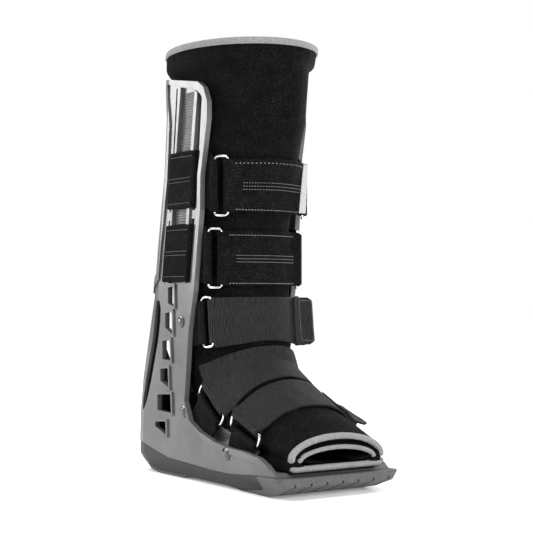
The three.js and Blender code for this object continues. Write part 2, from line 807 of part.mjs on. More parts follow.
// Section of the liner where the front has moved along by a distance from a given row
function sectionAlong(at, distance) {
  const apex = (section) => section.centre.clone().addScaledVector(section.ahead, section.depth);
  const step = 0.02 * Math.sign(distance);
  let travelled = 0;
  let row = at;
  let last = apex(linerSection(at));
  while (travelled < Math.abs(distance)) {
    row += step;
    const next = apex(linerSection(row));
    travelled += next.distanceTo(last);
    last = next;
  }
  return linerSection(row);
}

// Closed wire through the points of a flat loop
function wireLoop(points, normal, radius) {
  const sides = 6;
  const rings = points.map((point, i) => {
    const before = points[(i + points.length - 1) % points.length];
    const after = points[(i + 1) % points.length];
    const tangent = after.clone().sub(before).normalize();
    const across = new THREE.Vector3().crossVectors(normal, tangent);
    const ring = [];
    for (let j = 0; j < sides; j += 1) {
      const angle = ((j + 0.5) / sides) * 2 * Math.PI;
      ring.push(point.clone()
        .addScaledVector(normal, radius * Math.cos(angle))
        .addScaledVector(across, radius * Math.sin(angle)));
    }
    return ring;
  });
  const position = rings.flat().flatMap((point) => point.toArray());
  const index = [];
  rings.forEach((_, i) => {
    const next = (i + 1) % rings.length;
    for (let j = 0; j < sides; j += 1) {
      const k = (j + 1) % sides;
      const a = i * sides + j;
      const b = i * sides + k;
      const c = next * sides + k;
      const d = next * sides + j;
      index.push(a, b, c, a, c, d);
    }
  });
  if (volumeOf(position, index) < 0) index.reverse();
  const geometry = new THREE.BufferGeometry();
  geometry.setAttribute('position', new THREE.Float32BufferAttribute(position, 3));
  geometry.setIndex(index);
  return solidOf(geometry);
}

const wireRadius = ringWire / 2;
const loopInside = wireRadius + gap;

function addStrap(row) {
  const width = row.plush ? plushWidth : webWidth;
  const thickness = row.plush ? plushThickness : webThickness;
  const look = row.plush ? blackPlush : webbing;
  const middle = linerSection(row.at);
  const keeperX = roomAt(middle.centre.z) - gap - keeperThickness / 2;
  const turn = THREE.MathUtils.degToRad(row.turn);
  const rear = point2(keeperX, row.ring * middle.depth);
  const front = rear.clone().add(point2(-Math.sin(turn), Math.cos(turn)).multiplyScalar(ringReach));
  const shares = [-0.5, 0, 0.5];
  const sections = shares.map((share) => (
    share === 0 ? middle : sectionAlong(row.at, share * width)
  ));
  const clear = gap + strapSlack + thickness / 2;

  // Each section keeps the ring in the middle section's place, moved along the width
  const inPlane = (section, share, point) => {
    const wanted = place3(middle, point).addScaledVector(middle.down, share * width);
    const offset = wanted.sub(section.centre);
    return point2(offset.x, offset.dot(section.ahead));
  };
  const paths = sections.map((section, i) => (
    tautPath(section, inPlane(section, shares[i], front), clear)
  ));
  const rings = sections.map((section, i) => (
    thickLine(paths[i], thickness).map((point) => place3(section, point))
  ));
  let strap = solidOf(loft(rings));

  // Turned-back tab at the far end, over the first stretch of the strap
  const lengths = paths[1].map((point) => point.distanceTo(front));
  const count = Math.max(2, lengths.findIndex((length) => length > tabLength));
  const tabs = sections.map((section, i) => {
    const path = paths[i].slice(0, count).map((point) => point.clone());
    const inward = path[1].clone().sub(path[0]).normalize();
    path[0].addScaledVector(inward, -row.tab * tabReach);
    return thickLine(offsetPath(path, -thickness * 0.9), thickness)
      .map((point) => place3(section, point));
  });
  if (row.tab > 0) strap = strap.add(solidOf(loft(tabs)));

  const half = (width / 2) * 0.98;
  [1, -1].forEach((sign) => {
    const spot = (point, share) => place3(middle, point2(point.x * sign, point.y))
      .addScaledVector(middle.down, share);
    const low = spot(front, -half);
    const high = spot(front, half);
    strap = strap.add(cylinder(low, high, loopInside + thickness, 10));
    strap = strap.subtract(cylinder(spot(front, -width), spot(front, width), loopInside, 8));
    const side = sign > 0 ? 'far' : 'near';
    const reach = half + ringWire;
    const corner = ringWire;
    const lead = front.clone().sub(rear).normalize();
    const at = (point, inset, share) => spot(point.clone().addScaledVector(lead, inset), share);
    const loop = [
      at(rear, 0, -reach + corner), at(rear, 0, reach - corner),
      at(rear, corner * 0.6, reach), at(front, -corner * 0.6, reach),
      at(front, 0, reach - corner), at(front, 0, -reach + corner),
      at(front, -corner * 0.6, -reach), at(rear, corner * 0.6, -reach),
    ];
    const flat = new THREE.Vector3().subVectors(loop[1], loop[0])
      .cross(new THREE.Vector3().subVectors(loop[3], loop[2])).normalize();
    addMesh(`ring_${row.name}_${side}`, wireLoop(loop, flat, wireRadius), steel);
    addKeeper(row, middle, rear, sign, half, side);
  });
  addMesh(`strap_${row.name}`, strap.subtract(linerSpace), look);
}

// A keeper loops round the rear bar of a ring. On the calf it passes through the slots and over
// the band of the upright, elsewhere it lies inside the shell under a rivet
function addKeeper(row, middle, rear, sign, half, side) {
  const spot = (point, share) => place3(middle, point2(point.x * sign, point.y))
    .addScaledVector(middle.down, share);
  let keeper = cylinder(spot(rear, -half), spot(rear, half), loopInside + keeperThickness, 10);
  if (row.plush) {
    const rings = [-1, 1].map((share) => {
      const ringZ = middle.centre.z + share * half;
      const z = row.patch * shellHeight + share * (plushWidth / 2 + patchOver);
      const inside = roomAt(z) - gap - keeperThickness / 2;
      const outside = spanAt(z) + flangeRise + gap + keeperThickness / 2;
      const slot = frontAt(z) + frontSlotFrom + frameSlot / 2;
      const back = frontAt(z) + rearSlotFrom + frameSlot / 2;
      const path = [
        point2(rear.x, middle.centre.y - rear.y), point2(inside, frontAt(z)), point2(inside, slot),
        point2(outside, slot), point2(outside, back), point2(spanAt(z) - shellWall, back),
      ];
      const heights = path.map((point, i) => (i === 0 ? ringZ : z));
      return thickLine(path, keeperThickness).map((point, i) => {
        const turned = i < path.length ? i : 2 * path.length - 1 - i;
        return new THREE.Vector3(point.x * sign, point.y, heights[turned]);
      });
    });
    keeper = keeper.add(solidOf(loft(rings)));
  } else {
    const tail = [-half, half].map((share) => {
      const path = [rear, point2(rear.x, rear.y - row.tail * tailLength)];
      return thickLine(path, keeperThickness).map((p) => spot(p, share));
    });
    keeper = keeper.add(solidOf(loft(tail)));
  }
  keeper = keeper.subtract(cylinder(spot(rear, -half * 1.1), spot(rear, half * 1.1), loopInside, 8));
  rivetRows.forEach((rivet) => {
    const at = (x) => new THREE.Vector3(x * sign, rivet.place * halfLength, rivet.height * shellHeight);
    keeper = keeper.subtract(cylinder(at(ankleHalf / 2), at(ankleHalf), rivetShank / 2 + gap, 10));
  });
  keepers.push({ name: `keeper_${row.name}_${side}`, solid: keeper, look: row.plush ? blackPlush : webbing });
}

const linerSpace = linerBody(-gap, 0);
const keepers = [];
strapRows.forEach(addStrap);
keepers.forEach(({ name, solid, look }) => addMesh(name, solid, look));

export default boot;
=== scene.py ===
# A tall walking boot for an injured foot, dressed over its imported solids.
# Metres in the boot's own frame: +Z up, toe towards -Y, origin on the floor under its middle.
import math
from collections import namedtuple

import bmesh
import bpy
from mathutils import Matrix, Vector, noise


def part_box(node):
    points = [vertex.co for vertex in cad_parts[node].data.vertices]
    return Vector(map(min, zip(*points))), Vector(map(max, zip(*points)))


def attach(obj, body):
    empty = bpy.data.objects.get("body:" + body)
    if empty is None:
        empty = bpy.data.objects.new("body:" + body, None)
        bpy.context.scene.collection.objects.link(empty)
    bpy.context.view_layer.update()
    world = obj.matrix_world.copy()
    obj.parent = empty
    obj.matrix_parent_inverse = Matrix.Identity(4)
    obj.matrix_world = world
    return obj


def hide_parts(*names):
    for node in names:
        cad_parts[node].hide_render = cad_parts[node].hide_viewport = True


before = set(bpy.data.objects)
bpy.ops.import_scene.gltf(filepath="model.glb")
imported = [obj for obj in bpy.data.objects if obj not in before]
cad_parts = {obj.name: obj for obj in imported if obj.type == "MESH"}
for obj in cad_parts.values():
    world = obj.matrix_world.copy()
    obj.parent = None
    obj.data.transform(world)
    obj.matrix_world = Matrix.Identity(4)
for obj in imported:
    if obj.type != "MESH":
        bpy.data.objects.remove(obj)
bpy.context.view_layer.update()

# Sizes that the soft pieces share with the solids, in millimetres
SOLE_LENGTH = 276
SHELL_HEIGHT = 384
ANKLE_SPAN = 115
TOP_SPAN = 109
SHELL_WALL = 3.5
LINER_RISE = 24
LINER_WALL = 5
CALF_DEPTH = 168
BINDING_WIDTH = 5.5
BINDING_WALL = 1.2
PLUSH_WIDTH = 50
PLUSH_THICKNESS = 3.2
WEB_WIDTH = 41
WEB_THICKNESS = 2.2
KEEPER_THICKNESS = 2.2
STRAP_SLACK = 0.7
RING_WIRE = 3
RING_REACH = 14
TAB_LENGTH = 18
TAB_REACH = 16
BAND_FROM = 21.5
BAND_WIDTH = 26
GAP = 0.3
HALF_LENGTH = SOLE_LENGTH / 2
LINER_HEIGHT = SHELL_HEIGHT + LINER_RISE
MM = 0.001

# Sizes of what only the visual model has, in millimetres
RING_RAMP = 14
TAB_CORNER = 5
BAND_CLEAR = 0.6
BAND_WALL = 0.4
RIB_PITCH = 2.6
RIB_HEIGHT = 0.35
PATCH_OUT = 4.3
PATCH_FROM = 15
PATCH_TO = 54
END_FROM = 1
END_LENGTH = 7
END_WALL = 1.2
HEEL_REACH = 136
HEEL_CORNER = 24
HEEL_LINING_FROM = 44
HEEL_LINING_HEIGHT = 122
HEEL_LINING_RUN = 10
HEEL_LINING_WALL = 1.6
RIM_STITCH_DROP = 4.2
TRIM_SIDE = 30
TRIM_RISE = 9
TAPE_DEPTH = 3.4
UPPER_TAPE = 2.9
UPPER_TAPE_RISE = 1.6
LOWER_TAPE = 2.7
# In degrees
HEEL_LINING_TURN = 65
# As shares of the shell's height
BAND_LOW = 0.485
BAND_HIGH = 0.953
PATCH_MIDDLES = [0.737, 0.557]

# Rear reach of the shell: height and place as shares
HEEL_DEPTH = [(0.08, 0.982), (0.16, 0.973), (0.24, 0.938), (0.34, 0.85), (0.45, 0.77)]
# Free edge of the shell beside the foot: places along the foot and heights, in millimetres
TRIM_EDGE = [(-75, 36), (-50, 38), (-25, 41.5), (2, 48.5), (20, 57.5), (29, 75)]

# Side reach of the shell: height as a share, span and flare
Side = namedtuple("Side", "height span flare")
SIDES = [
    Side(0.16, 0.99, 0.0), Side(0.24, 0.99, 0.0), Side(0.34, 1.0, 0.0), Side(0.45, 1.0, 0.15),
    Side(0.60, 1.0, 0.37), Side(0.80, 1.0, 0.75), Side(1.02, 1.0, 1.02),
]
# Front edge of an upright: height and place as shares
Edge = namedtuple("Edge", "height place")
FRONT_EDGE = [
    Edge(0.37, 0.1468), Edge(0.466, 0.0875), Edge(0.659, 0.0207), Edge(0.745, 0.0207),
    Edge(0.88, -0.0575), Edge(0.922, -0.0553),
]
# Sections of the liner from the rim to the toe
Row = namedtuple("Row", "height lift place turn width depth")
LINER_ROWS = [
    Row(1, 1, 0.145, 0, 1.315, 0.976), Row(1, 0.3, 0.172, 0, 1.27, 1.0),
    Row(1, 0.03, 0.166, 0, 0.965, 1.07), Row(0.878, 0, 0.174, 0, 0.965, 1.004),
    Row(0.81, 0, 0.18, 0, 0.965, 0.87), Row(0.701, 0, 0.196, 0, 0.965, 0.724),
    Row(0.612, 0, 0.217, 0, 0.965, 0.604), Row(0.474, 0, 0.217, 0, 0.93, 0.64),
    Row(0.374, 0, 0.217, 6, 0.92, 0.667), Row(0.273, 0, 0.16, 24, 0.9, 0.643),
    Row(0.201, 0, 0.01, 48, 0.89, 0.571), Row(0.1615, 0, -0.25, 62, 0.89, 0.476),
    Row(0.1296, 0, -0.55, 72, 0.89, 0.357), Row(0.1126, 0, -0.76, 80, 0.91, 0.274),
    Row(0.0935, 0, -0.95, 84, 0.94, 0.19),
]
# Straps from the top down, as in the solids
Strap = namedtuple("Strap", "name at plush ring turn tab")
STRAPS = [
    Strap("calf_upper", 4.86, True, 0.60, 40, 0.0),
    Strap("calf_lower", 6.5, True, 0.60, 44, 0.0),
    Strap("ankle", 7.93, False, 0.42, 10, 0.5),
    Strap("instep", 10.27, False, -0.12, -2, 0.0),
    Strap("forefoot", 11.72, False, -0.17, -2, 0.7),
]
Section = namedtuple("Section", "centre ahead down width depth")


# Shapes worked out from the sizes
def along(rows, at, column):
    if at <= rows[0].height:
        return getattr(rows[0], column)
    for low, high in zip(rows, rows[1:]):
        if at <= high.height:
            share = (at - low.height) / (high.height - low.height)
            return getattr(low, column) + (getattr(high, column) - getattr(low, column)) * share
    return getattr(rows[-1], column)


def span_at(z):
    share = min(z, SHELL_HEIGHT) / SHELL_HEIGHT
    flare = (TOP_SPAN - ANKLE_SPAN) / 2
    return ANKLE_SPAN / 2 * along(SIDES, share, "span") + flare * along(SIDES, share, "flare")


def room_at(z):
    return span_at(z) - SHELL_WALL


def front_at(z):
    return HALF_LENGTH * along(FRONT_EDGE, z / SHELL_HEIGHT, "place")


def section_at(at):
    i = min(max(int(at), 0), len(LINER_ROWS) - 2)
    upper, lower = LINER_ROWS[i], LINER_ROWS[i + 1]
    mix = {
        name: getattr(upper, name) * (1 - at + i) + getattr(lower, name) * (at - i)
        for name in Row._fields
    }
    z = mix["height"] * SHELL_HEIGHT + mix["lift"] * LINER_RISE
    turn = math.radians(mix["turn"])
    return Section(
        Vector((0, mix["place"] * HALF_LENGTH, z)),
        Vector((0, -math.cos(turn), math.sin(turn))),
        Vector((0, -math.sin(turn), -math.cos(turn))),
        mix["width"] * room_at(z),
        mix["depth"] * CALF_DEPTH / 2,
    )


def section_along(at, distance):
    step = math.copysign(0.02, distance)
    travelled = 0
    last = section_at(at)
    while travelled < abs(distance):
        at += step
        following = section_at(at)
        travelled += (apex(following) - apex(last)).length
        last = following
    return last


def apex(section):
    return section.centre + section.ahead * section.depth


def in_space(section, across, ahead):
    return section.centre + Vector((across, 0, 0)) + section.ahead * ahead


# Taut line over the front of a section, from ring to ring, as flat points
def taut_line(section, ring, clear, steps=56):
    width = section.width + clear
    depth = section.depth + clear
    squashed = Vector((ring.x / width, ring.y / depth))
    touch = math.atan2(squashed.y, squashed.x)
    if squashed.length > 1:
        touch += math.acos(1 / squashed.length)
    points = [ring.copy()]
    for i in range(steps + 1):
        angle = touch + (math.pi - 2 * touch) * i / steps
        points.append(Vector((width * math.cos(angle), depth * math.sin(angle))))
    points.append(Vector((-ring.x, ring.y)))
    return points


# Points at even steps along a flat line, each with its outward direction
def even_steps(points, steps):
    lengths = [0]
    for a, b in zip(points, points[1:]):
        lengths.append(lengths[-1] + (b - a).length)
    result = []
    k = 0
    for i in range(steps + 1):
        wanted = lengths[-1] * i / steps
        while k < len(lengths) - 2 and lengths[k + 1] < wanted:
            k += 1
        share = (wanted - lengths[k]) / (lengths[k + 1] - lengths[k])
        tangent = (points[k + 1] - points[k]).normalized()
        result.append((points[k].lerp(points[k + 1], share), Vector((tangent.y, -tangent.x))))
    return result, lengths[-1]


class StrapCloth:
    """The middle surface of one strap: spot(u, v, lift) in metres, u along it from the far
    ring to the near one, v across it from -0.5 to 0.5, lift outwards in millimetres."""

    def __init__(self, strap):
        self.strap = strap
        self.width = PLUSH_WIDTH if strap.plush else WEB_WIDTH
        self.thickness = PLUSH_THICKNESS if strap.plush else WEB_THICKNESS
        self.middle = section_at(strap.at)
        keeper_x = room_at(self.middle.centre.z) - GAP - KEEPER_THICKNESS / 2
        turn = math.radians(strap.turn)
        self.rear = Vector((keeper_x, strap.ring * self.middle.depth))
        self.front = self.rear + Vector((-math.sin(turn), math.cos(turn))) * RING_REACH
        self.steps = 90
        self.columns = 12
        clear = GAP + STRAP_SLACK + self.thickness / 2
        self.lines = []
        for j in range(self.columns + 1):
            share = j / self.columns - 0.5
            section = self.middle if share == 0 else section_along(strap.at, share * self.width)
            spot = (in_space(self.middle, self.front.x, self.front.y)
                    + self.middle.down * share * self.width)
            offset = spot - section.centre
            ring = Vector((offset.x, offset.dot(section.ahead)))
            line, self.length = even_steps(taut_line(section, ring, clear), self.steps)
            self.lines.append((section, line))

    def spot(self, u, v, lift=0.0):
        column = min(max((v + 0.5) * self.columns, 0), self.columns)
        j = min(int(column), self.columns - 1)
        low = self.on_line(j, u, lift)
        high = self.on_line(j + 1, u, lift)
        return low.lerp(high, column - j) * MM

    def on_line(self, j, u, lift):
        section, line = self.lines[j]
        at = min(max(u, 0), 1) * self.steps
        i = min(int(at), self.steps - 1)
        flat = line[i][0].lerp(line[i + 1][0], at - i)
        outward = line[i][1].lerp(line[i + 1][1], at - i).normalized()
        roll = RING_WIRE / 2 + GAP + self.thickness / 2
        ends = min(u, 1 - u) * self.length
        lift += roll * max(0, 1 - ends / RING_RAMP) ** 2
        past = Vector((0, 0))
        if u < 0:
            past = (line[0][0] - line[1][0]).normalized() * -u * self.length
        raised = (in_space(section, outward.x, outward.y) - section.centre) * lift
        return in_space(section, flat.x + past.x, flat.y + past.y) + raised


# Making meshes
def new_piece(name, bm, material, replaced=(), smooth=True):
    mesh = bpy.data.meshes.new(name)
    bm.to_mesh(mesh)
    bm.free()
    mesh.materials.append(material)
    mesh.polygons.foreach_set("use_smooth", [smooth] * len(mesh.polygons))
    piece = bpy.data.objects.new(name, mesh)
    bpy.context.scene.collection.objects.link(piece)
    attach(piece, "root")
    if replaced:
        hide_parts(*replaced)
    return piece


def add_sheet(bm, steps_u, steps_v, spot, size_u=1.0, size_v=1.0):
    """A grid laid on spot(u, v), both from 0 to 1; its UV is in metres."""
    uv = bm.loops.layers.uv.verify()
    grid = bmesh.ops.create_grid(bm, x_segments=steps_u, y_segments=steps_v, size=0.5)
    fresh = grid["verts"]
    places = {vert: (vert.co.x + 0.5, vert.co.y + 0.5) for vert in fresh}
    for face in {face for vert in fresh for face in vert.link_faces}:
        for loop in face.loops:
            u, v = places[loop.vert]
            loop[uv].uv = (u * size_u, v * size_v)
    for vert, (u, v) in places.items():
        vert.co = spot(u, v)


def thicken(piece, thickness):
    """Gives a sheet its wall, with soft edges."""
    wall = piece.modifiers.new("cloth thickness", "SOLIDIFY")
    wall.thickness = thickness * MM
    wall.offset = 0
    rounding = piece.modifiers.new("soft edge", "BEVEL")
    rounding.width = min(0.7, thickness * 0.4) * MM
    rounding.segments = 3
    rounding.limit_method = "ANGLE"
    rounding.angle_limit = math.radians(50)


def merged_copy(node):
    bm = bmesh.new()
    bm.from_mesh(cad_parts[node].data)
    bmesh.ops.remove_doubles(bm, verts=bm.verts, dist=0.01 * MM)
    return bm


def soft_skin(name, node, voxel, passes, material, dent=None, swell=0.0):
    """An even, rounded skin over the place that a soft solid holds."""
    start = merged_copy(node)
    start.normal_update()
    for vert in start.verts:
        vert.co += vert.normal * swell * MM
    rough = new_piece(name, start, material, (node,))
    even = rough.modifiers.new("even skin", "REMESH")
    even.mode = "VOXEL"
    even.voxel_size = voxel * MM
    depsgraph = bpy.context.evaluated_depsgraph_get()
    skin = bpy.data.meshes.new_from_object(rough.evaluated_get(depsgraph))
    rough.modifiers.clear()
    bm = bmesh.new()
    bm.from_mesh(skin)
    for _ in range(passes):
        bmesh.ops.smooth_vert(
            bm, verts=bm.verts, factor=0.5, use_axis_x=True, use_axis_y=True, use_axis_z=True)
    if dent:
        bm.normal_update()
        for vert in bm.verts:
            vert.co += vert.normal * dent(vert.co) * MM
    bm.to_mesh(rough.data)
    bm.free()
    bpy.data.meshes.remove(skin)
    rough.data.polygons.foreach_set("use_smooth", [True] * len(rough.data.polygons))
    return rough


def mark_trim(piece, inside):
    """Marks where the cloth shows its grey trim; inside takes a point in millimetres."""
    trim = piece.data.attributes.new("trim", "FLOAT", "POINT")
    trim.data.foreach_set("value", [float(inside(vert.co / MM)) for vert in piece.data.vertices])


def stitch_row(bm, spots, length, width=0.55):
    """Short raised threads, one between each two spots of a row."""
    for start, end in zip(spots, spots[1:]):
        run = end - start
        if run.length == 0:
            continue
        made = bmesh.ops.create_icosphere(bm, subdivisions=1, radius=1.0)["verts"]
        turn = run.to_track_quat("X", "Z").to_matrix()
        centre = (start + end) / 2
        for vert in made:
            long = vert.co.x * length / 2 * MM
            vert.co = centre + turn @ Vector(
                (long, vert.co.y * width / 2 * MM, vert.co.z * width / 2 * MM))


def row_of(spot, v, lift, start, stop, pitch, length):
    """Evenly spaced spots along a strap, v across it."""
    count = int((stop - start) * length / pitch)
    at = [start + (stop - start) * i / count for i in range(count + 1)]
    return [spot(u, v, lift) for u in at]


# Finishes
def shader_of(name, **values):
    material = bpy.data.materials.new(name)
    material.use_nodes = True
    tree = material.node_tree
    shader = tree.nodes["Principled BSDF"]
    for key, value in values.items():
        shader.inputs[key.replace("_", " ")].default_value = value
    return material, tree, shader


def object_place(tree):
    return tree.nodes.new("ShaderNodeTexCoord").outputs["Object"]


def cloth_place(tree):
    return tree.nodes.new("ShaderNodeTexCoord").outputs["UV"]


def grain(tree, place, size, detail, stretch=(1, 1, 1)):
    """Noise whose grains are about size millimetres."""
    mapping = tree.nodes.new("ShaderNodeMapping")
    mapping.inputs["Scale"].default_value = stretch
    tree.links.new(place, mapping.inputs["Vector"])
    texture = tree.nodes.new("ShaderNodeTexNoise")
    texture.inputs["Scale"].default_value = 1 / (size * MM)
    texture.inputs["Detail"].default_value = detail
    tree.links.new(mapping.outputs["Vector"], texture.inputs["Vector"])
    return texture.outputs["Fac"]


def shade(tree, factor, stops):
    """Greys by position on a factor from 0 to 1."""
    ramp = tree.nodes.new("ShaderNodeValToRGB")
    ramp.color_ramp.elements[0].position = stops[0][0]
    ramp.color_ramp.elements[0].color = (*[stops[0][1]] * 3, 1)
    ramp.color_ramp.elements[1].position = stops[-1][0]
    ramp.color_ramp.elements[1].color = (*[stops[-1][1]] * 3, 1)
    for position, value in stops[1:-1]:
        ramp.color_ramp.elements.new(position).color = (value, value, value, 1)
    tree.links.new(factor, ramp.inputs["Fac"])
    return ramp.outputs["Color"]


def tint(tree, shader, factor, stops):
    tree.links.new(shade(tree, factor, stops), shader.inputs["Base Color"])


def polish(tree, shader, factor, low, high):
    """Lets the roughness drift between two values."""
    drift = tree.nodes.new("ShaderNodeMapRange")
    drift.inputs["To Min"].default_value = low
    drift.inputs["To Max"].default_value = high
    tree.links.new(factor, drift.inputs["Value"])
    tree.links.new(drift.outputs["Result"], shader.inputs["Roughness"])


def relief(tree, shader, layers):
    """Bumps, each a height with its depth in millimetres."""
    before = None
    for height, depth in layers:
        bump = tree.nodes.new("ShaderNodeBump")
        bump.inputs["Distance"].default_value = depth * MM
        tree.links.new(height, bump.inputs["Height"])
        if before:
            tree.links.new(before, bump.inputs["Normal"])
        before = bump.outputs["Normal"]
    tree.links.new(before, shader.inputs["Normal"])


def moulded_plastic(name, dark, light, rough_low, rough_high):
    material, tree, shader = shader_of(name, Specular_IOR_Level=0.5)
    place = object_place(tree)
    tint(tree, shader, grain(tree, place, 45, 4), [(0.3, dark), (0.7, light)])
    polish(tree, shader, grain(tree, place, 9, 5), rough_low, rough_high)
    relief(tree, shader, [(grain(tree, place, 0.55, 2), 0.035), (grain(tree, place, 14, 2), 0.12)])
    return material


def brushed_cloth(name, dark, light, fleck, pile, trim=None):
    """Black loop cloth: mottled, matt, with pale fibre tips. Where the mesh's trim attribute
    is 1, it turns into the grey of trim, a pair of shades."""
    material, tree, shader = shader_of(name, Roughness=0.95, Specular_IOR_Level=0.06)
    place = object_place(tree)
    tips = shade(
        tree, grain(tree, place, pile * 0.9, 4), [(0.42, dark), (0.6, light), (0.75, fleck)])
    patches = shade(tree, grain(tree, place, 11, 3), [(0.3, 0.55), (0.7, 1.0)])
    mixed = tree.nodes.new("ShaderNodeMix")
    mixed.data_type = "RGBA"
    mixed.blend_type = "MULTIPLY"
    mixed.inputs["Factor"].default_value = 1.0
    tree.links.new(tips, mixed.inputs["A"])
    tree.links.new(patches, mixed.inputs["B"])
    colour = mixed.outputs["Result"]
    if trim:
        marked = tree.nodes.new("ShaderNodeAttribute")
        marked.attribute_name = "trim"
        swap = tree.nodes.new("ShaderNodeMix")
        swap.data_type = "RGBA"
        zone = shade(tree, marked.outputs["Fac"], [(0.4, 0), (0.6, 1)])
        tree.links.new(zone, swap.inputs["Factor"])
        tree.links.new(colour, swap.inputs["A"])
        pale = shade(tree, grain(tree, place, 0.8, 4), [(0.4, trim[0]), (0.62, trim[1])])
        tree.links.new(pale, swap.inputs["B"])
        colour = swap.outputs["Result"]
    tree.links.new(colour, shader.inputs["Base Color"])
    relief(tree, shader, [
        (grain(tree, place, pile, 4), pile * 0.6), (grain(tree, place, pile * 4, 3), pile * 0.7)])
    return material


def ribbed_webbing(name, dark, light, pitch):
    """Webbing whose fine ribs run across the strap; reads the strap's own UV in metres."""
    material, tree, shader = shader_of(name, Roughness=0.8, Specular_IOR_Level=0.1)
    place = cloth_place(tree)
    wave = tree.nodes.new("ShaderNodeTexWave")
    wave.bands_direction = "X"
    wave.inputs["Scale"].default_value = 0.31 / (pitch * MM)
    wave.inputs["Distortion"].default_value = 1.2
    wave.inputs["Detail Scale"].default_value = 2.0
    tree.links.new(place, wave.inputs["Vector"])
    threads = grain(tree, place, 0.5, 3, (1, 0.06, 1))
    both = tree.nodes.new("ShaderNodeMath")
    both.operation = "MULTIPLY_ADD"
    both.inputs[1].default_value = 0.35
    tree.links.new(wave.outputs["Fac"], both.inputs[0])
    tree.links.new(threads, both.inputs[2])
    tint(tree, shader, both.outputs[0], [(0.4, dark), (1.0, light)])
    relief(tree, shader, [
        (wave.outputs["Fac"], 0.22), (threads, 0.2), (grain(tree, place, 3, 3), 0.25)])
    return material


def edge_tape(name, dark, light):
    material, tree, shader = shader_of(
        name, Roughness=0.85, Sheen_Weight=0.1, Specular_IOR_Level=0.2)
    place = object_place(tree)
    weave = grain(tree, place, 0.7, 3)
    tint(tree, shader, weave, [(0.35, dark), (0.65, light)])
    relief(tree, shader, [(weave, 0.25), (grain(tree, place, 5, 3), 0.5)])
    return material


def moulded_rubber(name, dark, light):
    material, tree, shader = shader_of(name, Specular_IOR_Level=0.4, Roughness=0.62)
    place = object_place(tree)
    tint(tree, shader, grain(tree, place, 1.6, 5), [(0.35, dark), (0.7, light)])
    relief(tree, shader, [(grain(tree, place, 0.8, 3), 0.12), (grain(tree, place, 20, 2), 0.3)])
    return material


def bright_wire(name):
    material, tree, shader = shader_of(name, Metallic=1.0)
    place = object_place(tree)
    tint(tree, shader, grain(tree, place, 6, 3), [(0.3, 0.62), (0.7, 0.85)])
    polish(tree, shader, grain(tree, place, 3, 4), 0.12, 0.32)
    relief(tree, shader, [(grain(tree, place, 1.5, 2), 0.02)])
    return material


shell_plastic = moulded_plastic("shell plastic", 0.055, 0.10, 0.24, 0.38)
band_plastic = moulded_plastic("band plastic", 0.03, 0.055, 0.35, 0.5)
rivet_plastic = moulded_plastic("rivet plastic", 0.045, 0.07, 0.16, 0.28)
midsole_rubber = moulded_rubber("midsole rubber", 0.007, 0.017)
outsole_rubber = moulded_rubber("outsole rubber", 0.055, 0.09)
liner_cloth = brushed_cloth("liner cloth", 0.0015, 0.007, 0.06, 0.8, (0.16, 0.5))
plain_cloth = brushed_cloth("toe flap cloth", 0.0015, 0.005, 0.03, 0.7)
plush_cloth = brushed_cloth("plush strap cloth", 0.002, 0.009, 0.09, 0.8)
webbing_cloth = ribbed_webbing("strap webbing", 0.002, 0.034, 1.3)
keeper_cloth = brushed_cloth("keeper cloth", 0.004, 0.014, 0.04, 0.6)
binding_tape = edge_tape("binding tape", 0.12, 0.28)
pale_tape = edge_tape("pale strap end", 0.30, 0.5)
stitch_thread = edge_tape("stitch thread", 0.16, 0.34)
ring_wire = bright_wire("ring wire")


# Moulded parts: the solids stay, with rounded edges
def round_edges(node, material, width, angle=35, dissolve=True):
    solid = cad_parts[node]
    solid.data.materials.clear()
    solid.data.materials.append(material)
    weld = solid.modifiers.new("joined facets", "WELD")
    weld.merge_threshold = 0.02 * MM
    if dissolve:
        flat = solid.modifiers.new("flat faces", "DECIMATE")
        flat.decimate_type = "DISSOLVE"
        flat.angle_limit = math.radians(0.6)
    edge = solid.modifiers.new("rounded edges", "BEVEL")
    edge.width = width * MM
    edge.segments = 2
    edge.limit_method = "ANGLE"
    edge.angle_limit = math.radians(angle)


round_edges("shell", shell_plastic, 0.7)
round_edges("midsole", midsole_rubber, 1.2)
round_edges("outsole_heel", outsole_rubber, 0.8)
round_edges("outsole_toe", outsole_rubber, 0.8)


def smooth_wire(node, material):
    piece = new_piece(node + "_bright", merged_copy(node), material, (node,))
    rounding = piece.modifiers.new("round wire", "SUBSURF")
    rounding.levels = 2
    rounding.render_levels = 2


# Ribbed band in the recess of each upright
def band(sign, side):
    low = SHELL_HEIGHT * BAND_LOW
    high = SHELL_HEIGHT * BAND_HIGH

    def spot(u, v):
        z = low + (high - low) * v
        ridge = RIB_HEIGHT * math.sin(2 * math.pi * z / RIB_PITCH)
        x = span_at(z) - SHELL_WALL * 0.5 + 0.45 + ridge
        y = front_at(z) + BAND_FROM + BAND_CLEAR + (BAND_WIDTH - 2 * BAND_CLEAR) * u
        return Vector((sign * x, y, z)) * MM

    bm = bmesh.new()
    add_sheet(bm, 4, int((high - low) / RIB_PITCH * 6), spot)
    bmesh.ops.recalc_face_normals(bm, faces=bm.faces)
    piece = new_piece("upright_band_" + side, bm, band_plastic)
    wall = piece.modifiers.new("band wall", "SOLIDIFY")
    wall.thickness = BAND_WALL * MM
    wall.offset = 0


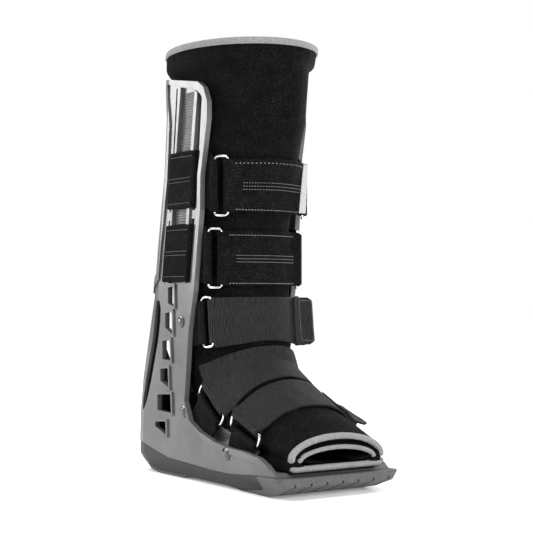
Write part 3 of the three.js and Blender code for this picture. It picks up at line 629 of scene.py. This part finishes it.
# Straps
def strap_piece(strap):
    cloth = StrapCloth(strap)
    node = "strap_" + strap.name
    material = plush_cloth if strap.plush else webbing_cloth
    bm = bmesh.new()

    def body(u, v):
        wave = noise.noise(Vector((u * 9, v * 2.5, strap.at))) * 0.7 + 0.35
        pinch = -0.45 * math.exp(-((v - 0.5) / 0.09) ** 2) if strap.plush else 0
        return cloth.spot(u, v - 0.5, wave + pinch)

    add_sheet(bm, cloth.steps, 16, body, cloth.length * MM, cloth.width * MM)

    for sign in (1, -1):
        centre = in_space(cloth.middle, cloth.front.x * sign, cloth.front.y)
        radius = RING_WIRE / 2 + GAP + cloth.thickness / 2

        def roll(u, v, sign=sign, centre=centre, radius=radius):
            angle = 2 * math.pi * u
            swell = radius + 0.25 * noise.noise(Vector((v * 7, strap.at, sign)))
            point = centre + cloth.middle.down * (v - 0.5) * cloth.width * 0.98
            return (point + Vector((swell * math.cos(angle), 0, 0))
                    + cloth.middle.ahead * swell * math.sin(angle)) * MM

        add_sheet(bm, 24, 10, roll, 2 * math.pi * radius * MM, cloth.width * MM)
    if strap.tab > 0:
        reach = strap.tab * TAB_REACH

        def tab(u, v):
            edge = max(0, abs(v - 0.5) * cloth.width - cloth.width / 2 + TAB_CORNER)
            cut = TAB_CORNER - math.sqrt(max(0, TAB_CORNER ** 2 - edge ** 2))
            start = (-reach + cut) / cloth.length
            stop = TAB_LENGTH / cloth.length
            return cloth.spot(start + (stop - start) * u, v - 0.5, cloth.thickness * 1.1 + 0.5)

        add_sheet(bm, 20, 16, tab, (reach + TAB_LENGTH) * MM, cloth.width * MM)
    bmesh.ops.remove_doubles(bm, verts=bm.verts, dist=0.02 * MM)
    bmesh.ops.recalc_face_normals(bm, faces=bm.faces)
    piece = new_piece(node + "_cloth", bm, material, (node,))
    thicken(piece, cloth.thickness)

    seams = bmesh.new()
    over = cloth.thickness / 2 + 0.75
    if strap.plush:
        for v in (-0.42, 0.46):
            stitch_row(seams, row_of(cloth.spot, v, over, 0.1, 0.94, 3.0, cloth.length), 2.0, 0.75)
        for v in (-0.05, 0.01, 0.07):
            stitch_row(seams, row_of(cloth.spot, v, over - 0.2, 0.1, 0.86, 2.4, cloth.length), 1.7)
    if strap.tab > 0.3:
        reach = strap.tab * TAB_REACH / cloth.length
        top = cloth.thickness * 1.6 + 0.6
        for v in (-0.42, 0.42):
            row = row_of(cloth.spot, v, top, -reach * 0.8, 10 / cloth.length, 2.6, cloth.length)
            stitch_row(seams, row, 1.8)
        for u in (-reach * 0.78, 9 / cloth.length):
            stitch_row(seams, [cloth.spot(u, -0.4 + 0.8 * i / 12, top) for i in range(13)], 2.0)
    if seams.verts:
        new_piece(node + "_stitches", seams, stitch_thread, smooth=False)
    else:
        seams.free()


# Stitch rows on the cloth patches over the bands
def patch_stitches(sign, side):
    seams = bmesh.new()
    for share in PATCH_MIDDLES:
        middle = share * SHELL_HEIGHT
        for rise in (-PLUSH_WIDTH * 0.44, -1.8, 1.8, PLUSH_WIDTH * 0.44):
            z = middle + rise
            count = 13
            spots = []
            for i in range(count + 1):
                y = front_at(z) + PATCH_FROM + (PATCH_TO - PATCH_FROM) * i / count
                spots.append(Vector((sign * (span_at(z) + PATCH_OUT), y, z)) * MM)
            stitch_row(seams, spots, 1.6, 0.5)
    new_piece("patch_stitches_" + side, seams, stitch_thread, smooth=False)


# Pale end of the upper calf strap, sewn flat on its far end
def strap_end(strap, name):
    cloth = StrapCloth(strap)
    bm = bmesh.new()

    def spot(u, v):
        along_strap = (END_FROM + END_LENGTH * u) / cloth.length
        return cloth.spot(along_strap, (v - 0.5) * 0.97, cloth.thickness / 2 + 0.9)

    add_sheet(bm, 6, 12, spot)
    bmesh.ops.recalc_face_normals(bm, faces=bm.faces)
    piece = new_piece(name, bm, pale_tape)
    thicken(piece, END_WALL)


# Rear reach of the shell at a height
def heel_depth(z):
    share = z / SHELL_HEIGHT
    for (low, near), (high, far) in zip(HEEL_DEPTH, HEEL_DEPTH[1:]):
        if share <= high:
            return HEEL_REACH * (near + (far - near) * (share - low) / (high - low))
    return HEEL_REACH * HEEL_DEPTH[-1][1]


# Black padding inside each rear corner of the shell, seen through the long slots
def heel_lining(sign, side):
    inset = SHELL_WALL + HEEL_LINING_WALL
    straight = 0.3

    def spot(u, v):
        z = HEEL_LINING_FROM + HEEL_LINING_HEIGHT * v
        across = span_at(z) - inset
        corner = HEEL_CORNER - inset
        back = heel_depth(z) - inset
        start = back - corner - HEEL_LINING_RUN
        if u < straight:
            return Vector((sign * across, start + HEEL_LINING_RUN * u / straight, z)) * MM
        angle = (u - straight) / (1 - straight) * math.radians(HEEL_LINING_TURN)
        return Vector((
            sign * (across - corner + corner * math.cos(angle)),
            back - corner + corner * math.sin(angle), z)) * MM

    bm = bmesh.new()
    add_sheet(bm, 30, 40, spot)
    bmesh.ops.recalc_face_normals(bm, faces=bm.faces)
    piece = new_piece("heel_lining_" + side, bm, keeper_cloth)
    thicken(piece, HEEL_LINING_WALL)


# Rim tape: a strip folded over the edge of the liner
def rim_binding():
    fall = (LINER_ROWS[0].lift - LINER_ROWS[1].lift) * LINER_RISE
    skin = GAP + BINDING_WALL / 2
    thick = LINER_WALL / 2 + skin
    crown = 0.4

    def ring_spot(angle, inset, offset):
        section = section_at(max(0, -offset / fall))
        x = (section.width - inset) * math.cos(angle)
        y = (section.depth - inset) * math.sin(angle)
        point = in_space(section, x, y)
        point.z = LINER_HEIGHT + offset
        return point * MM

    def spot(u, v):
        angle = 2 * math.pi * u
        ripple = 0.25 * noise.noise(Vector((math.cos(angle) * 9, math.sin(angle) * 9, v * 2)))
        run = (v - 0.5) * 2
        if abs(run) > crown:
            side = math.copysign(1, run)
            drop = (abs(run) - crown) / (1 - crown) * BINDING_WIDTH * 0.8
            return ring_spot(angle, LINER_WALL / 2 + side * (thick + ripple), -drop - 0.8)
        turn = run / crown * math.pi / 2
        inset = LINER_WALL / 2 + thick * math.sin(turn)
        return ring_spot(angle, inset, thick * math.cos(turn) * 0.5 - 0.8)

    bm = bmesh.new()
    add_sheet(bm, 160, 22, spot)
    bmesh.ops.remove_doubles(bm, verts=bm.verts, dist=0.02 * MM)
    bmesh.ops.recalc_face_normals(bm, faces=bm.faces)
    piece = new_piece("rim_tape", bm, binding_tape, ("liner_top_binding",))
    thicken(piece, BINDING_WALL)
    seams = bmesh.new()
    count = 150
    for inset in (-GAP - BINDING_WALL - 0.15, LINER_WALL + GAP + BINDING_WALL + 0.15):
        spots = [
            ring_spot(2 * math.pi * i / count, inset, -RIM_STITCH_DROP) for i in range(count + 1)]
        stitch_row(seams, spots, 2.2, 0.6)
    new_piece("rim_tape_stitches", seams, stitch_thread, smooth=False)


# Soft folds of the liner at a point in metres: slow swells, and short creases at the ankle
def liner_folds(point):
    swell = noise.noise(point * 22) * 0.5
    bend = math.exp(-((point.z - 0.118) / 0.03) ** 2) * 0.5 * math.sin(point.z * 900)
    return swell + bend


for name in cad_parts:
    if name.startswith("ring_"):
        smooth_wire(name, ring_wire)
    elif name.startswith("rivet_"):
        round_edges(name, rivet_plastic, 0.5, 18, dissolve=False)
    elif name.startswith("keeper_calf"):
        soft_skin(name + "_cloth", name, 0.8, 3, plush_cloth)
    elif name.startswith("keeper_"):
        soft_skin(name + "_cloth", name, 0.8, 3, keeper_cloth)
for sign, side in ((1, "far"), (-1, "near")):
    band(sign, side)
    patch_stitches(sign, side)
    heel_lining(sign, side)
for strap in STRAPS:
    strap_piece(strap)
strap_end(STRAPS[0], "strap_calf_upper_end")
rim_binding()
liner = soft_skin(
    "liner_padding", "liner", 1.9, 9, liner_cloth, dent=liner_folds, swell=0.6)


# Whether a point in millimetres lies on the grey lining above the free edge of the shell
def in_side_lining(point):
    if abs(point.x) < TRIM_SIDE:
        return False
    for (y0, z0), (y1, z1) in zip(TRIM_EDGE, TRIM_EDGE[1:]):
        if y0 <= point.y <= y1:
            edge = z0 + (z1 - z0) * (point.y - y0) / (y1 - y0)
            return point.z < edge + TRIM_RISE
    return False


mark_trim(liner, in_side_lining)
flap = soft_skin("toe_inner_flap_padding", "toe_inner_flap", 0.9, 6, plain_cloth)


# Rolled edge tape round the front of the toe
Front = namedtuple("Front", "half base top place")


def front_of(node):
    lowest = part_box(node)[0]
    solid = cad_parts[node].data
    spots = [vert.co for vert in solid.vertices if vert.co.y < lowest[1] + 0.5 * MM]
    return Front(
        max(spot.x for spot in spots) / MM, min(spot.z for spot in spots) / MM,
        max(spot.z for spot in spots) / MM, lowest[1] / MM)


def roll_piece(name, path, radius, depth, replaced=()):
    """Tape rolled round an edge: path(u) in millimetres, seen from the front."""
    bm = bmesh.new()

    def spot(u, v):
        before = path(max(u - 0.004, 0))
        after = path(min(u + 0.004, 1))
        run = (after - before).normalized()
        outward = Vector((0, 1, 0)).cross(run)
        pinch = min(1, 0.55 + min(u, 1 - u) * 22)
        angle = 2 * math.pi * v
        swell = 1 + 0.06 * noise.noise(Vector((u * 40, math.cos(angle) * 2, radius)))
        return (path(u) + outward * radius * pinch * swell * math.cos(angle)
                + Vector((0, depth * pinch * math.sin(angle), 0))) * MM

    add_sheet(bm, 120, 18, spot)
    bmesh.ops.remove_doubles(bm, verts=bm.verts, dist=0.02 * MM)
    bmesh.ops.holes_fill(bm, edges=bm.edges, sides=0)
    bmesh.ops.recalc_face_normals(bm, faces=bm.faces)
    new_piece(name, bm, binding_tape, replaced)
    seams = bmesh.new()
    spots = []
    count = 48
    for i in range(count + 1):
        u = 0.04 + 0.92 * i / count
        run = (path(min(u + 0.01, 1)) - path(u - 0.01)).normalized()
        outward = Vector((0, 1, 0)).cross(run)
        spots.append((path(u) + outward * radius * 0.6 + Vector((0, -depth * 0.82, 0))) * MM)
    stitch_row(seams, spots, 1.3, 0.4)
    new_piece(name + "_stitches", seams, stitch_thread, smooth=False)


def arch(front, radius, depth, low):
    """A path over the front of an arched solid, whose ends turn in below its middle."""
    centre = front.base + (front.top - front.base) * low
    rise = front.top - radius - centre
    sink = math.asin(min(1, max(0, (centre - front.base - radius) / rise)))

    def path(u):
        angle = -sink + (math.pi + 2 * sink) * u
        return Vector((
            (front.half - radius) * math.cos(angle), front.place + depth,
            centre + rise * math.sin(angle)))

    return path


def toe_tapes():
    upper = front_of("toe_upper_binding")
    over = arch(upper._replace(top=upper.top + UPPER_TAPE_RISE), UPPER_TAPE, TAPE_DEPTH, 0.2)
    roll_piece("toe_upper_tape", over, UPPER_TAPE, TAPE_DEPTH, ("toe_upper_binding",))
    lower = front_of("toe_lower_binding")
    middle = (lower.base + lower.top) / 2

    def straight(u):
        return Vector(((lower.half - 2) * (1 - 2 * u), lower.place + TAPE_DEPTH, middle))

    roll_piece("toe_lower_tape", straight, LOWER_TAPE, TAPE_DEPTH, ("toe_lower_binding",))
    inner = front_of("toe_inner_flap")
    roll_piece("toe_flap_tape", arch(inner, 2.0, 1.6, 0.1), 2.2, 2.4)


toe_tapes()


# Floor, light and camera
def studio():
    bm = bmesh.new()
    bmesh.ops.create_grid(bm, x_segments=1, y_segments=1, size=6)
    mesh = bpy.data.meshes.new("floor")
    bm.to_mesh(mesh)
    bm.free()
    floor = bpy.data.objects.new("floor", mesh)
    bpy.context.scene.collection.objects.link(floor)
    material = shader_of(
        "floor paper", Base_Color=(0.9, 0.9, 0.9, 1), Roughness=0.9,
        Emission_Color=(1, 1, 1, 1), Emission_Strength=0.2)[0]
    mesh.materials.append(material)
    world = bpy.data.worlds.new("studio")
    bpy.context.scene.world = world
    world.use_nodes = True
    tree = world.node_tree
    room = tree.nodes["Background"]
    room.inputs["Color"].default_value = (1, 1, 1, 1)
    room.inputs["Strength"].default_value = 0.28
    backdrop = tree.nodes.new("ShaderNodeBackground")
    backdrop.inputs["Color"].default_value = (1, 1, 1, 1)
    backdrop.inputs["Strength"].default_value = 1.0
    seen = tree.nodes.new("ShaderNodeLightPath")
    either = tree.nodes.new("ShaderNodeMixShader")
    tree.links.new(seen.outputs["Is Camera Ray"], either.inputs["Fac"])
    tree.links.new(room.outputs["Background"], either.inputs[1])
    tree.links.new(backdrop.outputs["Background"], either.inputs[2])
    tree.links.new(either.outputs["Shader"], tree.nodes["World Output"].inputs["Surface"])
    lights = [
        ("key softbox", (-1.25, 1.6, 0.75), 0.9, 34),
        ("front softbox", (-0.3, -2.2, 1.0), 0.7, 44),
        ("back softbox", (1.9, 0.6, 0.9), 1.0, 34),
        ("top softbox", (0.3, 0.2, 2.4), 2.0, 10),
    ]
    for name, spot, size, power in lights:
        light = bpy.data.lights.new(name, "AREA")
        light.size = size
        light.energy = power
        lamp = bpy.data.objects.new(name, light)
        bpy.context.scene.collection.objects.link(lamp)
        lamp.location = spot
        inwards = Vector((0, 0, 0.2)) - lamp.location
        lamp.rotation_euler = inwards.to_track_quat("-Z", "Y").to_euler()
    high_light = bpy.data.lights.new("even light from above", "SUN")
    high_light.energy = 2.3
    high_light.angle = math.radians(50)
    lamp = bpy.data.objects.new("even light from above", high_light)
    bpy.context.scene.collection.objects.link(lamp)
    lamp.location = (0, 0, 3)
    lamp.rotation_euler = (math.radians(12), math.radians(-14), 0)
    bpy.context.scene.view_settings.view_transform = "Standard"
    bpy.context.scene.view_settings.look = "None"


def photo_camera():
    camera = bpy.data.cameras.new("photo camera")
    camera.lens = 90.3
    camera.sensor_width = 36
    viewer = bpy.data.objects.new("photo camera", camera)
    bpy.context.scene.collection.objects.link(viewer)
    viewer.location = (-0.7158, -1.0492, 0.172)
    heading = math.radians(34.88)
    pitch = math.radians(1.33)
    look = Vector((
        math.sin(heading) * math.cos(pitch), math.cos(heading) * math.cos(pitch),
        math.sin(pitch)))
    viewer.rotation_euler = look.to_track_quat("-Z", "Y").to_euler()
    bpy.context.scene.camera = viewer


studio()
photo_camera()
bpy.context.view_layer.update()
